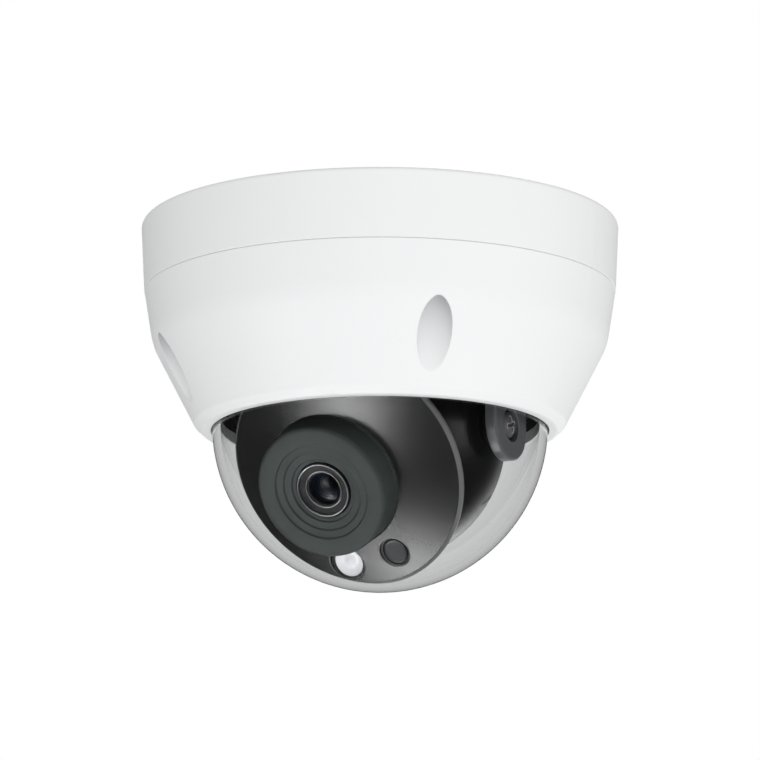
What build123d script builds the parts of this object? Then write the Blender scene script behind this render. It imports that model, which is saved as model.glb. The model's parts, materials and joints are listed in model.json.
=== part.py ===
from build123d import *
from math import cos, radians, sin
import os

# Ceiling dome camera. The origin is the centre of the ceiling face and the camera hangs towards -Z.
# Bodies: the housing is fixed, the turntable pans on it, the eyeball tilts between two arms, and
# the front of the eyeball turns about the lens direction.

# ---------------------------------------------------------------- driving dimensions, mm
# Housing
base_radius = 55.0
base_height = 15.8
base_plate = 3.0
base_wall = 3.4
base_edge = 1.0
base_draft = 0.8
seam_gap = 0.04
seam_edge = 0.2
cover_height = 32.36
cover_wall = 2.6
skirt_height = 12.0
skirt_draft = 1.9
opening_radius = 38.7
lip_width = 3.6
lip_depth = 2.7
lip_edge = 1.3
shoulder_round = 14.0

# Dome
dome_fit = 0.3
dome_wall = 1.8
dome_neck = 1.7
dome_flange_width = 3.0
dome_flange = 1.8
dome_seal_height = 0.6
dome_ring_height = 1.6
dome_screw_count = 4

# Cover fixing
cover_screw_count = 4
cover_screw_azimuth = -47.5
cover_screw_inset = 7.0
pocket_radius = 3.9
pocket_wall = 1.6
screw_head_radius = 3.1
screw_head_height = 2.8
cover_screw_radius = 1.6
boss_floor = 3.0
clip_radius = 3.3
clip_height = 0.6
spigot_height = 3.5
spigot_wall = 2.4
seal_section = 1.3

# Ceiling fixing and cable entry
ceiling_hole_radius = 2.3
ceiling_hole_inset = 9.5
cable_hole_radius = 7.0
cable_hole_reach = 24.0
cable_bore_radius = 2.9
grommet_lip = 1.6
grommet_flange = 1.8
gasket_width = 1.8
gasket_height = 1.2

# Main board
board_radius = 33.5
board_thickness = 1.6
board_standoff = 2.0
board_post_inset = 4.0
board_screw_radius = 1.0
chip_size = 14.0
chip_height = 1.1

# Pan stage
turntable_width = 6.5
turntable_flange = 2.2
turntable_flange_height = 1.6
frame_width = 8.0
frame_plate = 2.6
frame_screw_inset = 3.0
frame_screw_radius = 1.25
ring_screw_radius = 0.8
frame_top = 8.8
clamp_ring_height = 1.4
stop_width = 1.2
stop_length = 2.4

# Arms and tilt axis
tilt_drop = 3.2
arm_gap = 1.9
arm_thickness = 2.4
arm_end_radius = 8.0
arm_foot_length = 9.0
arm_foot_height = 2.2
arm_screw_radius = 1.0
pivot_radius = 2.0
pivot_head_radius = 2.9
pivot_head_height = 1.3
pivot_recess_gap = 1.0
pivot_recess_depth = 1.2

# Eyeball
ball_radius = 28.7
ball_wall = 1.6
ball_cut = 14.5
lens_dip = 32.0
lead_hole_up = 9.0
lead_hole_radius = 6.0
clip_slot_angle = 36.0
clip_slot_length = 4.7
clip_slot_width = 0.5
clip_slot_forward = 1.45
mask_inset = 1.0
mask_rim = 18.2
mask_apex = 22.0
mask_wall = 2.0
mask_bevel = 0.65
roll_bore_radius = 22.2
roll_lip = 2.5
spindle_wall = 2.5
retainer_height = 1.4
retainer_width = 4.2
retainer_screw_radius = 0.7

# Lens and hood, measured across and up the mask from its centre
lens_across = -2.7
lens_up = -1.5
hood_radius = 15.7
hood_front_radius = 15.3
hood_front = 27.9
hood_seat = 20.4
hood_neck_radius = 12.5
hood_step_count = 3
hood_step_width = 1.75
hood_step_depth = 0.5
hood_tail = 2.4
hood_relief_depth = 0.6
barrel_radius = 6.0
barrel_front = 26.9
bezel_lip = 0.2
glass_radius = 3.55
holder_side = 14.0
lock_ring_width = 2.6
lock_ring_height = 1.8
lock_ring_gap = 0.6
lock_notch_count = 12
sensor_board_radius = 16.2
sensor_board_front = 8.0
sensor_board_thickness = 1.2
sensor_screw_radius = 0.8

# Infrared lamp and light sensor, measured across and up the mask from its centre
lamp_across = -5.6
lamp_up = -22.0
lamp_collar_radius = 4.2
lamp_lens_radius = 3.5
lamp_top = 19.3
eye_sensor_across = 7.0
eye_sensor_up = -20.1
eye_sensor_radius = 3.1

# Clearances
running_gap = 0.08
seat_gap = 0.1
moving_gap = 0.25
thread_gap = 0.03
screw_gap = 0.15

# ---------------------------------------------------------------- places worked out from them
full_turn = 360.0
cover_top = -(base_height + seam_gap)
cover_bottom = cover_top - cover_height
skirt_bottom = cover_top - skirt_height
base_foot_radius = base_radius - base_draft
cover_radius = base_foot_radius - seat_gap
skirt_radius = cover_radius - skirt_draft
lip_radius = opening_radius + lip_width
dome_radius = opening_radius - dome_fit
cover_screw_reach = base_radius - cover_screw_inset
ceiling_hole_reach = base_radius - ceiling_hole_inset
spigot_radius = base_radius - base_wall
spigot_bottom = -(base_height + spigot_height)
cover_bore = spigot_radius + seat_gap
seal_centre = -(base_height + spigot_height / 2)
gasket_outer = base_radius - 3.1
gasket_inner = gasket_outer - gasket_width

cover_screw_step = full_turn / cover_screw_count
cover_screw_angles = [cover_screw_azimuth + i * cover_screw_step for i in range(cover_screw_count)]
between_angles = [a + cover_screw_step / 2 for a in cover_screw_angles]
boss_radius = pocket_radius + pocket_wall
boss_top = spigot_bottom - 1.3
pocket_floor = boss_top - boss_floor
clip_low = boss_top + 2 * seat_gap
clip_bore = cover_screw_radius - 0.4
cover_screw_end = -base_plate - 5.0

dome_ledge = cover_bottom + lip_depth
dome_seal_top = dome_ledge + dome_seal_height
dome_flange_top = dome_seal_top + dome_flange
dome_centre = dome_seal_top - dome_neck
dome_ring_top = dome_flange_top + dome_ring_height
dome_flange_radius = dome_radius + dome_flange_width
dome_screw_reach = dome_radius + dome_flange_width / 2 + 0.1
dome_screw_radius = 0.9
dome_screw_end = cover_bottom + 1.5
dome_screw_step = full_turn / dome_screw_count
dome_screw_first = cover_screw_azimuth + cover_screw_step / 2
dome_screw_angles = [dome_screw_first + i * dome_screw_step for i in range(dome_screw_count)]

board_top = -(base_plate + board_standoff)
board_bottom = board_top - board_thickness
board_post_reach = board_radius - board_post_inset
board_screw_end = -base_plate + 0.5
frame_screw_end = -base_plate - 1.5

arm_inner = ball_radius + arm_gap
arm_outer = arm_inner + arm_thickness
turntable_radius = arm_outer
turntable_hole = turntable_radius - turntable_width
frame_radius = turntable_radius + frame_width
frame_screw_reach = frame_radius - frame_screw_inset
clamp_top = -frame_top
clamp_bottom = clamp_top - clamp_ring_height
flange_top = clamp_bottom - seat_gap
flange_bottom = flange_top - turntable_flange_height
frame_lip_top = flange_bottom - seat_gap
frame_bottom = frame_lip_top - frame_plate
turntable_bottom = frame_bottom - 1.6
flange_radius = turntable_radius + turntable_flange
foot_bottom = turntable_bottom - arm_foot_height

arm_screw_across = arm_inner - 2.6
arm_screw_deep = arm_end_radius - 3.0
arm_screw_spots = [Pos(x * arm_screw_across, y * arm_screw_deep, 0) for x in (-1, 1) for y in (-1, 1)]
tilt_height = tilt_drop - dome_centre
tilt_point = Vector(0, 0, -tilt_height)
pivot_recess_radius = pivot_head_radius + pivot_recess_gap
pivot_head_top = arm_outer - pivot_recess_depth + seat_gap / 2
washer_thickness = 0.6
washer_outer = arm_inner - seat_gap / 2
ball_boss_end = washer_outer - washer_thickness
ball_boss_start = ball_boss_end - 6.0
insert_radius = pivot_radius + 1.0
ball_boss_radius = insert_radius + 1.6

mask_radius = ball_radius - mask_inset
barrel_bezel = barrel_radius + bezel_lip
lock_ring_radius = barrel_radius + lock_ring_width
hood_bore = barrel_bezel + 0.35
hood_steps = [hood_bore + 1.05 + hood_step_width * i for i in reversed(range(hood_step_count))]
spindle_radius = roll_bore_radius - running_gap
spindle_inner = spindle_radius - spindle_wall
retainer_screw_reach = spindle_radius - spindle_wall / 2
retainer_screw_angles = [30.0, 150.0, 270.0]
roll_lip_back = ball_cut - roll_lip
spindle_back = roll_lip_back - moving_gap
mask_back = ball_cut + moving_gap
lamp_board_back = mask_back + 1.6
lamp_board_front = lamp_board_back + 0.8
mask_seat_radius = hood_radius + seat_gap
mask_hole_radius = hood_neck_radius + seat_gap
post_reach = mask_hole_radius + 1.8
post_radius = 1.7
sensor_post_angles = [0.0, 120.0, 240.0]

# The eyeball's own frame: +Z out through the lens, +X across the mask, +Y up the mask
dip = radians(lens_dip)
eye = Plane(origin=tilt_point, x_dir=(1, 0, 0), z_dir=(0, -cos(dip), -sin(dip)))


# ---------------------------------------------------------------- shared shapes
def tube(outer, inner, low, high):
    """An upright ring between two heights, or a disc where inner is 0."""
    body = Pos(0, 0, (low + high) / 2) * Cylinder(outer, high - low)
    if inner > 0:
        body -= Pos(0, 0, (low + high) / 2) * Cylinder(inner, high - low + 2)
    return body


def block(across, deep, low, high):
    """An upright box, centred in plan, between two heights."""
    return Pos(0, 0, (low + high) / 2) * Box(across, deep, high - low)


def turned(points, fillets=None):
    """A closed outline of (radius, height) points turned about Z, with some corners rounded."""
    outline = make_face(Plane.XZ * Polyline(*points, close=True))
    for (r, z), size in (fillets or {}).items():
        corner = outline.vertices().sort_by_distance(Vector(r, 0, z))[0]
        outline = fillet(corner, size)
    return revolve(outline, Axis.Z)


def around(shape, reach, angles):
    """Copies of a shape, moved out by reach and turned to each angle."""
    return [Rot(0, 0, a) * Pos(reach, 0, 0) * shape for a in angles]


def join(shapes):
    """One solid from several that overlap."""
    whole = shapes[0]
    for extra in shapes[1:]:
        whole += extra
    return whole


def cut(body, shapes):
    """A body with every one of the shapes taken out of it."""
    for tool in shapes:
        body -= tool
    return body


def drill(body, radius, low, high, reach, angles):
    """A body with upright holes cut round a circle."""
    return cut(body, around(tube(radius, 0, low, high), reach, angles))


def group(shapes):
    """Separate identical solids kept in one sub-part."""
    return Compound(children=[solid for shape in shapes for solid in shape.solids()])


def in_eye(shape):
    """A shape drawn in the eyeball's frame, moved to its place in the camera."""
    return eye * shape


def screw(radius, length, head_radius, head_height, slot_width):
    """A cross-recess screw with its shank up from Z = 0 and its head below."""
    body = tube(radius, 0, 0, length) + tube(head_radius, 0, -head_height, 0)
    body = chamfer(body.edges().group_by(Axis.Z)[0], head_height * 0.2)
    for turn in (0, 90):
        recess = Box(head_radius * 1.3, slot_width, head_height)
        body -= Rot(0, 0, turn) * Pos(0, 0, -head_height) * recess
    return body


# ---------------------------------------------------------------- housing
def mounting_base():
    """Cast cup: a plate on the ceiling, a short wall, and a spigot that enters the cover."""
    top = -base_plate
    low = -base_height
    points = [
        (0, 0),
        (base_radius, 0),
        (base_foot_radius, low),
        (spigot_radius, low),
        (spigot_radius, spigot_bottom),
        (spigot_radius - spigot_wall, spigot_bottom),
        (spigot_radius - spigot_wall, top),
        (0, top),
    ]
    rounded = {
        (base_radius, 0): base_edge,
        (base_foot_radius, low): seam_edge,
        (spigot_radius - spigot_wall, top): 2.0,
    }
    cup = turned(points, rounded)
    boss = tube(3.8, 0, spigot_bottom, top + 0.5)
    post = tube(2.8, 0, clamp_top, top + 0.5)
    standoff = tube(2.4, 0, board_top, top + 0.5)
    inside = tube(spigot_radius, 0, spigot_bottom, 0)
    cup += join([b & inside for b in around(boss, cover_screw_reach, cover_screw_angles)])
    cup += join(around(post, frame_screw_reach, cover_screw_angles))
    cup += join(around(standoff, board_post_reach, cover_screw_angles))
    groove_half = seal_section / 2 + seat_gap
    low = seal_centre - groove_half
    high = seal_centre + groove_half
    groove = tube(spigot_radius + 1, spigot_radius - seal_section, low, high)
    ceiling_groove = tube(gasket_outer + seat_gap, gasket_inner - seat_gap, -gasket_height, 1)
    cup = cut(cup, [groove, ceiling_groove])
    tap = cover_screw_radius + thread_gap
    cup = drill(cup, tap, spigot_bottom - 1, cover_screw_end, cover_screw_reach, cover_screw_angles)
    tap = frame_screw_radius + thread_gap
    cup = drill(cup, tap, clamp_top - 1, frame_screw_end, frame_screw_reach, cover_screw_angles)
    tap = board_screw_radius + thread_gap
    cup = drill(cup, tap, board_top - 1, board_screw_end, board_post_reach, cover_screw_angles)
    cup = drill(cup, ceiling_hole_radius, top - 3, 1, ceiling_hole_reach, between_angles)
    return cup - Pos(0, cable_hole_reach, 0) * tube(cable_hole_radius, 0, -base_plate - 1, 1)


def ceiling_seal():
    """Flat rubber ring in the groove of the ceiling face."""
    return tube(gasket_outer, gasket_inner, -gasket_height, 0)


def cable_grommet():
    """Rubber bush that lines the cable hole, with a lip under the plate."""
    low = -base_plate - grommet_lip
    neck = cable_hole_radius - seat_gap / 2
    lip = cable_hole_radius + grommet_flange
    top = -2 * seat_gap
    points = [
        (cable_bore_radius, top),
        (neck, top),
        (neck, -base_plate),
        (lip, -base_plate),
        (lip, low),
        (cable_bore_radius, low),
    ]
    return Pos(0, cable_hole_reach, 0) * turned(points, {(lip, low): 0.5})


def cover_seal():
    """O-ring on the spigot, pressed by the cover's bore."""
    section = seal_section / 2
    ring = Plane.XZ * Pos(spigot_radius - section + seat_gap / 2, seal_centre) * Circle(section)
    return revolve(ring, Axis.Z)


def cover_shell():
    """Outer shell: a drafted skirt, a tapering wall, and a rolled lip round the dome."""
    taper_foot = cover_bottom + 1.6
    outer_points = [
        (0, cover_top),
        (cover_radius, cover_top),
        (skirt_radius, skirt_bottom),
        (lip_radius + 0.2, taper_foot),
        (lip_radius - 1.6, cover_bottom),
        (0, cover_bottom),
    ]
    rounded = {
        (skirt_radius, skirt_bottom): shoulder_round,
        (lip_radius + 0.2, taper_foot): lip_edge,
        (lip_radius - 1.6, cover_bottom): 0.8,
        (cover_radius, cover_top): seam_edge,
    }
    outer = turned(outer_points, rounded)
    flange_bore = dome_flange_radius + 2 * seat_gap
    inner_points = [
        (0, cover_top + 1),
        (cover_bore, cover_top + 1),
        (cover_bore, spigot_bottom - 0.6),
        (skirt_radius - cover_wall, skirt_bottom),
        (flange_bore, dome_ring_top + 0.6),
        (flange_bore, dome_ledge),
        (opening_radius, dome_ledge),
        (opening_radius, cover_bottom - 1),
        (0, cover_bottom - 1),
    ]
    cavity = turned(inner_points)
    boss = tube(boss_radius, 0, cover_bottom, boss_top)
    keep_clear = tube(flange_bore, 0, cover_bottom - 1, cover_top)
    bosses = join([b - keep_clear for b in around(boss, cover_screw_reach, cover_screw_angles)])
    shell = outer - (cavity - bosses)
    reach = cover_screw_reach
    shell = drill(shell, pocket_radius, cover_bottom - 2, pocket_floor, reach, cover_screw_angles)
    passage = cover_screw_radius + 2 * screw_gap
    shell = drill(shell, passage, pocket_floor - 1, boss_top + 1, reach, cover_screw_angles)
    tap = dome_screw_radius + thread_gap
    return drill(shell, tap, dome_screw_end - 0.3, dome_ledge + 1, dome_screw_reach, dome_screw_angles)


def cover_screws():
    """Captive screws that hold the cover, with a hexagon socket in a round head."""
    head = tube(screw_head_radius, 0, pocket_floor - screw_head_height, pocket_floor)
    head = chamfer(head.edges().group_by(Axis.Z)[0], 0.4)
    socket = extrude(Plane.XY * RegularPolygon(1.5, 6), 1.8)
    body = head + tube(cover_screw_radius, 0, pocket_floor, cover_screw_end - 0.6)
    body -= tube(cover_screw_radius + 1, clip_bore, clip_low, clip_low + clip_height)
    body -= Pos(0, 0, pocket_floor - screw_head_height) * socket
    return group(around(body, cover_screw_reach, cover_screw_angles))


def screw_clips():
    """Open clips in the necks of the cover's screws."""
    slack = seat_gap / 2
    clip = tube(clip_radius, clip_bore + thread_gap, clip_low + slack, clip_low + clip_height - slack)
    clip -= Pos(clip_radius, 0, clip_low) * Box(2 * clip_radius, 2, 4)
    return group(around(clip, cover_screw_reach, cover_screw_angles))


def dome_bubble():
    """Clear hemisphere with a short neck and a flat flange, drilled for the ring's screws."""
    inner = dome_radius - dome_wall
    ball = Pos(0, 0, dome_centre) * Sphere(dome_radius)
    ball += tube(dome_radius, 0, dome_centre, dome_flange_top)
    ball += tube(dome_flange_radius, 0, dome_seal_top, dome_flange_top)
    hollow = Pos(0, 0, dome_centre) * Sphere(inner) + tube(inner, 0, dome_centre, dome_flange_top + 1)
    ball -= hollow
    ball -= tube(dome_radius * 2, 0, dome_flange_top, dome_radius)
    passage = dome_screw_radius + screw_gap
    return drill(ball, passage, dome_ledge, dome_flange_top + 1, dome_screw_reach, dome_screw_angles)


def dome_seal():
    """Silicone ring between the dome's flange and the cover's ledge."""
    ring = tube(dome_flange_radius, dome_radius + 0.4, dome_ledge, dome_seal_top)
    passage = dome_screw_radius + screw_gap
    return drill(ring, passage, dome_ledge - 1, dome_seal_top + 1, dome_screw_reach, dome_screw_angles)


def dome_clamp_ring():
    """Steel ring that presses the dome's flange down."""
    ring = tube(dome_flange_radius, dome_radius - 0.8, dome_flange_top, dome_ring_top)
    passage = dome_screw_radius + screw_gap
    return drill(ring, passage, dome_flange_top - 1, dome_ring_top + 1, dome_screw_reach, dome_screw_angles)


def dome_ring_screws():
    """Screws through the ring, the flange and the seal into the cover."""
    length = dome_ring_top - dome_screw_end
    body = Pos(0, 0, dome_ring_top) * Rot(180, 0, 0) * screw(dome_screw_radius, length, 1.5, 0.9, 0.4)
    return group(around(body, dome_screw_reach, dome_screw_angles))


# ---------------------------------------------------------------- main board
def main_board():
    """Round board with a bay for the cable bush, on standoffs."""
    board = tube(board_radius, 0, board_bottom, board_top)
    bay = cable_hole_radius + 3
    low = board_bottom - 1
    high = board_top + 1
    board -= Pos(0, cable_hole_reach, 0) * tube(bay, 0, low, high)
    board -= Pos(0, cable_hole_reach + bay, 0) * block(2 * bay, 2 * bay, low, high)
    return drill(board, board_screw_radius + screw_gap, low, high, board_post_reach, cover_screw_angles)


def board_screws():
    """Screws that hold the main board to its standoffs."""
    length = board_screw_end - board_bottom - 0.3
    body = Pos(0, 0, board_bottom) * screw(board_screw_radius, length, 1.9, 1.1, 0.5)
    return group(around(body, board_post_reach, cover_screw_angles))


def system_chip():
    """Video processor on the board's upper face."""
    return Pos(0, -4, 0) * block(chip_size, chip_size, board_top, board_top + chip_height)


def thermal_pad():
    """Soft pad that carries the processor's heat into the base."""
    return Pos(0, -4, 0) * block(chip_size + 1, chip_size + 1, board_top + chip_height, -base_plate)


def network_transformer():
    """Isolating transformer for the network pair."""
    return Pos(-17, 6, 0) * block(7, 11, board_bottom - 2.0, board_bottom)


def lead_connector():
    """Open-topped pin header for the internal lead."""
    body = Pos(14, 10, 0) * block(5, 12, board_bottom - 3.4, board_bottom)
    body -= Pos(14, 10, 0) * block(3.4, 10.4, board_bottom - 4.4, board_bottom - 1.0)
    pin = block(0.5, 0.5, board_bottom - 2.9, board_bottom - 0.9)
    pins = [Pos(14, 5.5 + 1.5 * i, 0) * pin for i in range(7)]
    return join([body] + pins)


# ---------------------------------------------------------------- pan stage
def inner_frame():
    """Moulded carrier with the bearing bore of the turntable and a recess for its flange."""
    flange_bore = flange_radius + moving_gap
    bore = turntable_radius + running_gap
    points = [
        (bore, frame_lip_top),
        (flange_bore, frame_lip_top),
        (flange_bore, clamp_bottom),
        (frame_radius, clamp_bottom),
        (frame_radius, frame_bottom),
        (bore, frame_bottom),
    ]
    ring = turned(points, {(frame_radius, frame_bottom): 1.2})
    high = clamp_bottom + 1
    passage = frame_screw_radius + screw_gap
    ring = drill(ring, passage, frame_bottom - 1, high, frame_screw_reach, cover_screw_angles)
    tap = ring_screw_radius + thread_gap
    return drill(ring, tap, frame_bottom + 1, high, frame_screw_reach, between_angles)


def frame_screws():
    """Screws up through the carrier and the clamp ring into the base."""
    length = frame_screw_end - frame_bottom - 0.4
    body = Pos(0, 0, frame_bottom) * screw(frame_screw_radius, length, 2.3, 1.5, 0.6)
    return group(around(body, frame_screw_reach, cover_screw_angles))


def pan_clamp_ring():
    """Ring over the turntable's flange, with an inward stop that ends the pan travel."""
    ring = tube(frame_radius, turntable_radius + 0.6, clamp_bottom, clamp_top)
    stop = Pos(0, -(turntable_radius + 0.6 - stop_length / 2 + 0.5), 0)
    ring += stop * block(stop_width, stop_length + 1, clamp_bottom, clamp_top)
    low = clamp_bottom - 1
    high = clamp_top + 1
    ring = drill(ring, frame_screw_radius + screw_gap, low, high, frame_screw_reach, cover_screw_angles)
    return drill(ring, ring_screw_radius + screw_gap, low, high, frame_screw_reach, between_angles)


def clamp_ring_screws():
    """Screws that hold the clamp ring to the carrier."""
    length = clamp_ring_height + 2.2
    body = Pos(0, 0, clamp_top) * Rot(180, 0, 0) * screw(ring_screw_radius, length, 1.5, 0.9, 0.4)
    return group(around(body, frame_screw_reach, between_angles))


def pan_turntable():
    """Flanged ring that turns in the carrier, with the moving stop on its top."""
    points = [
        (turntable_hole, flange_top),
        (flange_radius, flange_top),
        (flange_radius, flange_bottom),
        (turntable_radius, flange_bottom),
        (turntable_radius, turntable_bottom),
        (turntable_hole, turntable_bottom),
    ]
    ring = turned(points)
    reach = turntable_radius + 0.6 - moving_gap - stop_length / 2
    ring += Pos(0, reach, 0) * block(stop_width, stop_length, flange_top - 0.5, clamp_top - 0.2)
    return cut(ring, arm_screw_holes(arm_screw_radius + thread_gap, turntable_bottom - 1, flange_top - 1))


def arm_screw_holes(radius, low, high):
    """Two upright holes over each arm's foot."""
    return [spot * tube(radius, 0, low, high) for spot in arm_screw_spots]


def arm(side):
    """Upright plate with a round end at the tilt axis and an inward foot under the turntable."""
    middle = (arm_inner + arm_outer) / 2
    plate = Pos(middle, 0, 0) * block(arm_thickness, 2 * arm_end_radius, -tilt_height, turntable_bottom)
    end = Pos(middle, 0, -tilt_height) * Rot(0, 90, 0) * Cylinder(arm_end_radius, arm_thickness)
    foot = Pos(arm_outer - arm_foot_length / 2, 0, 0)
    body = plate + end + foot * block(arm_foot_length, 2 * arm_end_radius, foot_bottom, turntable_bottom)
    outside = body.edges().filter_by(GeomType.CIRCLE).group_by(Axis.X)[-1]
    body = chamfer(outside, 0.4)
    hole = Cylinder(pivot_radius + running_gap, 3 * arm_thickness)
    recess = Cylinder(pivot_recess_radius, 2 * pivot_recess_depth)
    body -= Pos(middle, 0, -tilt_height) * Rot(0, 90, 0) * hole
    body -= Pos(arm_outer, 0, -tilt_height) * Rot(0, 90, 0) * recess
    body = cut(body, arm_screw_holes(arm_screw_radius + screw_gap, foot_bottom - 1, turntable_bottom + 1))
    return body if side > 0 else mirror(body, Plane.YZ)


def right_arm():
    """Arm on the +X side."""
    return arm(1)


def left_arm():
    """Arm on the -X side."""
    return arm(-1)


def arm_screws():
    """Screws up through the arms' feet into the turntable."""
    body = Pos(0, 0, foot_bottom) * screw(arm_screw_radius, arm_foot_height + 4, 1.9, 1.1, 0.5)
    return group([spot * body for spot in arm_screw_spots])


# ---------------------------------------------------------------- tilt stage
def both_sides(shape):
    """A piece on the +X pivot and its mirror on the -X pivot, at the tilt height."""
    placed = Pos(0, 0, -tilt_height) * shape
    return group([placed, mirror(placed, Plane.YZ)])


def along_x(shape):
    """A shape drawn along Z, laid along +X."""
    return Rot(0, 90, 0) * shape


def tilt_screws():
    """Shoulder screws that the eyeball tilts on; their heads sit in the arms' recesses."""
    length = pivot_head_top - (ball_boss_start + 1.2)
    body = along_x(Rot(180, 0, 0) * screw(pivot_radius, length, pivot_head_radius, pivot_head_height, 0.8))
    return both_sides(Pos(pivot_head_top, 0, 0) * body)


def tilt_washers():
    """Friction washers between the eyeball's bosses and the arms."""
    washer = tube(ball_boss_radius, pivot_radius + thread_gap, ball_boss_end, washer_outer)
    return both_sides(along_x(washer))


def pivot_inserts():
    """Brass threaded inserts in the eyeball's bosses."""
    sleeve = tube(insert_radius, pivot_radius + thread_gap, ball_boss_start + 1, ball_boss_end)
    return both_sides(along_x(sleeve))


def rear_shell():
    """Back of the eyeball: a hollow ball cut off square, with pivot bosses, a bearing lip and clip slots."""
    ball = Sphere(ball_radius) & tube(ball_radius + 1, 0, -ball_radius - 1, ball_cut)
    hollow = Sphere(ball_radius - ball_wall) & tube(ball_radius, 0, -ball_radius, roll_lip_back)
    ball -= hollow
    boss = along_x(tube(ball_boss_radius, 0, ball_boss_start, ball_boss_end))
    ball += boss
    ball += mirror(boss, Plane.YZ)
    ball -= tube(roll_bore_radius, 0, roll_lip_back - 1, ball_cut + 1)
    socket = along_x(tube(insert_radius, 0, ball_boss_start + 1, ball_boss_end + 1))
    reach = along_x(tube(pivot_radius + 0.4, 0, ball_boss_start - 1, ball_boss_end))
    lead_hole = Pos(0, lead_hole_up, 0) * tube(lead_hole_radius, 0, -ball_radius - 1, -ball_radius / 2)
    holes = [socket, mirror(socket, Plane.YZ), reach, mirror(reach, Plane.YZ), lead_hole]
    slot = Pos(0, 0, clip_slot_forward) * Box(3 * ball_wall, clip_slot_width, clip_slot_length)
    sides = [-clip_slot_angle, clip_slot_angle, 180 - clip_slot_angle, 180 + clip_slot_angle]
    return in_eye(cut(ball, holes + around(slot, ball_radius, sides)))


# ---------------------------------------------------------------- front of the eyeball
def at_lens(shape):
    """A piece of the lens, moved to the lens axis."""
    return Pos(lens_across, lens_up, 0) * shape


def sensor_posts(radius, low, high):
    """Upright rods round the lens where the sensor board is held."""
    return [at_lens(rod) for rod in around(tube(radius, 0, low, high), post_reach, sensor_post_angles)]


def crowned(apex, rim_radius, rim_height, foot):
    """A solid of revolution from a foot up to a crowned top, through an apex and a rim."""
    sag = apex - rim_height
    crown = (rim_radius**2 + sag**2) / (2 * sag)
    ball = Pos(0, 0, apex - crown) * Sphere(crown)
    return tube(rim_radius, 0, foot, apex) & ball


def front_mask():
    """Crowned front plate with a bright bevelled rim, a spindle behind it and three posts."""
    rim_top = mask_rim + mask_bevel
    front = crowned(mask_apex, mask_radius - mask_bevel, rim_top, mask_rim - 1)
    rim = turned(
        [
            (0, mask_back),
            (spindle_radius + 2.8, mask_back),
            (mask_radius, mask_rim - 0.8),
            (mask_radius, mask_rim),
            (mask_radius - mask_bevel, rim_top),
            (0, rim_top),
        ]
    )
    body = front + rim + tube(spindle_radius, 0, spindle_back, mask_back + 1)
    inside_radius = mask_radius - mask_bevel - mask_wall
    body -= crowned(mask_apex - mask_wall, inside_radius, rim_top - mask_wall, lamp_board_back - 0.05)
    body -= tube(spindle_inner, 0, spindle_back - 1, lamp_board_back + 1)
    posts = sensor_posts(post_radius, sensor_board_front, mask_apex - mask_wall / 2)
    body += join([p & crowned(mask_apex - 0.5, inside_radius, rim_top - 0.5, 0) for p in posts])
    body -= at_lens(tube(mask_seat_radius, 0, hood_seat, mask_apex + 1))
    body -= at_lens(tube(mask_hole_radius, 0, lamp_board_back, mask_apex + 1))
    tap = sensor_screw_radius + thread_gap
    body = cut(body, sensor_posts(tap, sensor_board_front - 1, sensor_board_front + 4))
    tap = retainer_screw_radius + thread_gap
    body = cut(body, retainer_rods(tap, spindle_back - 1, spindle_back + 3))
    slack = seat_gap / 2
    body -= at_lamp(tube(lamp_collar_radius + slack, 0, lamp_board_front, mask_apex))
    body -= at_eye_sensor(tube(eye_sensor_radius + 0.4, 0, lamp_top, mask_apex))
    body -= at_eye_sensor(tube(eye_sensor_radius + slack, 0, lamp_board_front, mask_apex))
    return in_eye(body)


def retainer_rods(radius, low, high):
    """Upright rods in the spindle's wall where the retaining ring is screwed."""
    return around(tube(radius, 0, low, high), retainer_screw_reach, retainer_screw_angles)


def roll_retainer():
    """Ring behind the bearing lip that keeps the front of the eyeball in its shell."""
    outer = spindle_inner + retainer_width
    ring = tube(outer, spindle_inner, spindle_back - retainer_height, spindle_back)
    passage = retainer_screw_radius + screw_gap
    return in_eye(cut(ring, retainer_rods(passage, spindle_back - retainer_height - 1, spindle_back + 1)))


def retainer_screws():
    """Screws through the retaining ring into the spindle."""
    body = screw(retainer_screw_radius, retainer_height + 2.4, 1.2, 0.8, 0.35)
    placed = Pos(0, 0, spindle_back - retainer_height) * body
    return in_eye(group(around(placed, retainer_screw_reach, retainer_screw_angles)))


def lens_hood():
    """Soft hood round the lens, stepped down from its face to the barrel."""
    face = hood_front
    relief = lock_ring_radius + lock_ring_gap
    tail = hood_seat - hood_tail
    relief_top = hood_seat + hood_relief_depth
    points = [
        (hood_neck_radius, tail),
        (hood_neck_radius, hood_seat),
        (hood_radius, hood_seat),
        (hood_front_radius, face),
    ]
    for r in hood_steps:
        points.append((r, face))
        face -= hood_step_depth
        points.append((r, face))
    points += [(hood_bore, face), (hood_bore, relief_top)]
    points += [(relief, relief_top), (relief, tail)]
    return in_eye(at_lens(turned(points, {(hood_front_radius, hood_front): 0.9})))


def lens_barrel():
    """Threaded lens barrel with a raised bezel and a cone down to the glass."""
    cone = glass_radius + 1.1
    bezel_floor = barrel_front - 0.7
    points = [
        (glass_radius, sensor_board_front + 4.5),
        (barrel_radius, sensor_board_front + 4.5),
        (barrel_radius, hood_seat + 1.2),
        (barrel_bezel, hood_seat + 1.2),
        (barrel_bezel, barrel_front),
        (barrel_bezel - 0.5, barrel_front),
        (barrel_bezel - 0.6, bezel_floor),
        (cone, bezel_floor),
        (cone - 0.1, barrel_front - 0.3),
        (glass_radius, barrel_front - 1.0),
    ]
    return in_eye(at_lens(turned(points)))


def lens_element(back, front, bulge, radius):
    """A round lens with a crowned front."""
    return crowned(front, radius, front - bulge, back)


def front_lens():
    """Outer glass of the lens, just inside its cone."""
    return in_eye(at_lens(lens_element(barrel_front - 3.6, barrel_front - 0.8, 1.0, glass_radius - 0.03)))


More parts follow.
